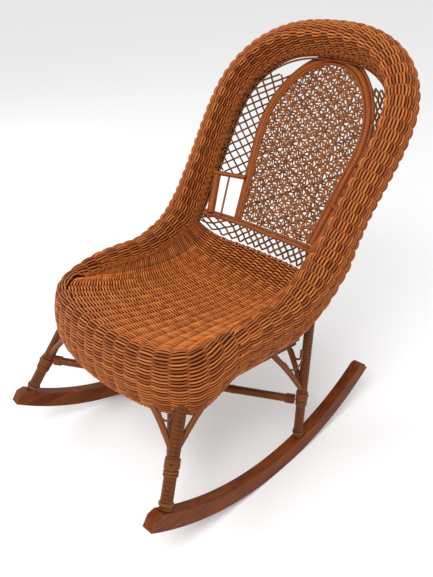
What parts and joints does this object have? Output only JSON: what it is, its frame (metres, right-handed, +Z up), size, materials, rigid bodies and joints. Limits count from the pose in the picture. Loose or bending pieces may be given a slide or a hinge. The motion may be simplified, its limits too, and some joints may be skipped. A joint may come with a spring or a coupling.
{
  "type": "miniature rocking chair",
  "caption": "Doll-size armless wicker rocking chair with a rolled serpentine edge, woven dished seat, arched cane back panel and bent wooden rockers",
  "frame": {"origin": "middle of the bounding box's underside, on the floor line that the rockers touch at rest", "axes": "+X to the sitter's left, +Y towards the back of the chair, +Z up; the chair faces -Y and is mirror-symmetric about X = 0 apart from the crossed stretchers"},
  "size_m": [0.2392, 0.3618, 0.3706],
  "materials": {
    "wood": "satin stained wood",
    "wrapped_pole": "cane-wrapped pole, semi-gloss",
    "cane_binding": "split cane, semi-gloss",
    "nail": "dark oxidised",
    "split_cane": "split cane, semi-gloss",
    "woven_reed": "varnished reed, satin",
    "reed": "varnished reed, satin"
  },
  "bodies": {
    "root": {"apron_border_rod": "reed", "apron_front": "woven_reed", "arch_frame": "reed", "binding_front_left": "cane_binding", "binding_front_right": "cane_binding", "binding_rear_left": "cane_binding", "binding_rear_right": "cane_binding", "binding_tacks": "nail", "brace_front_left_front": "reed", "brace_front_left_side": "reed", "brace_front_right_front": "reed", "brace_front_right_side": "reed", "brace_rear_left_rear": "reed", "brace_rear_left_side": "reed", "brace_rear_right_rear": "reed", "brace_rear_right_side": "reed", "cane_panel": "split_cane", "curls_front_left": "reed", "curls_front_right": "reed", "curls_rear_left": "reed", "curls_rear_right": "reed", "foot_rings": "wrapped_pole", "front_edge_pole": "reed", "front_edge_posts": "reed", "inner_braid_left": "woven_reed", "inner_braid_right": "woven_reed", "lattice_left": "split_cane", "lattice_right": "split_cane", "lattice_strip": "split_cane", "leg_dowels": "wood", "leg_front_left": "wrapped_pole", "leg_front_right": "wrapped_pole", "leg_rear_left": "wrapped_pole", "leg_rear_right": "wrapped_pole", "lower_crossbar": "reed", "rear_border_rod": "reed", "rocker_left": "wood", "rocker_right": "wood", "roll_back_left": "woven_reed", "roll_back_right": "woven_reed", "roll_core_hoop": "reed", "roll_posts_left": "reed", "roll_posts_right": "reed", "roll_side_left": "woven_reed", "roll_side_right": "woven_reed", "roll_top": "woven_reed", "seat_frame_bow": "wood", "seat_rail_rear": "wood", "seat_weave": "woven_reed", "short_bar_left": "reed", "short_bar_right": "reed", "side_post_left": "reed", "side_post_right": "reed", "spindle_left": "reed", "spindle_right": "reed", "stretcher_end_wraps": "wrapped_pole", "stretcher_lower": "wrapped_pole", "stretcher_nails": "nail", "stretcher_upper": "wrapped_pole"}
  },
  "joints": []
}
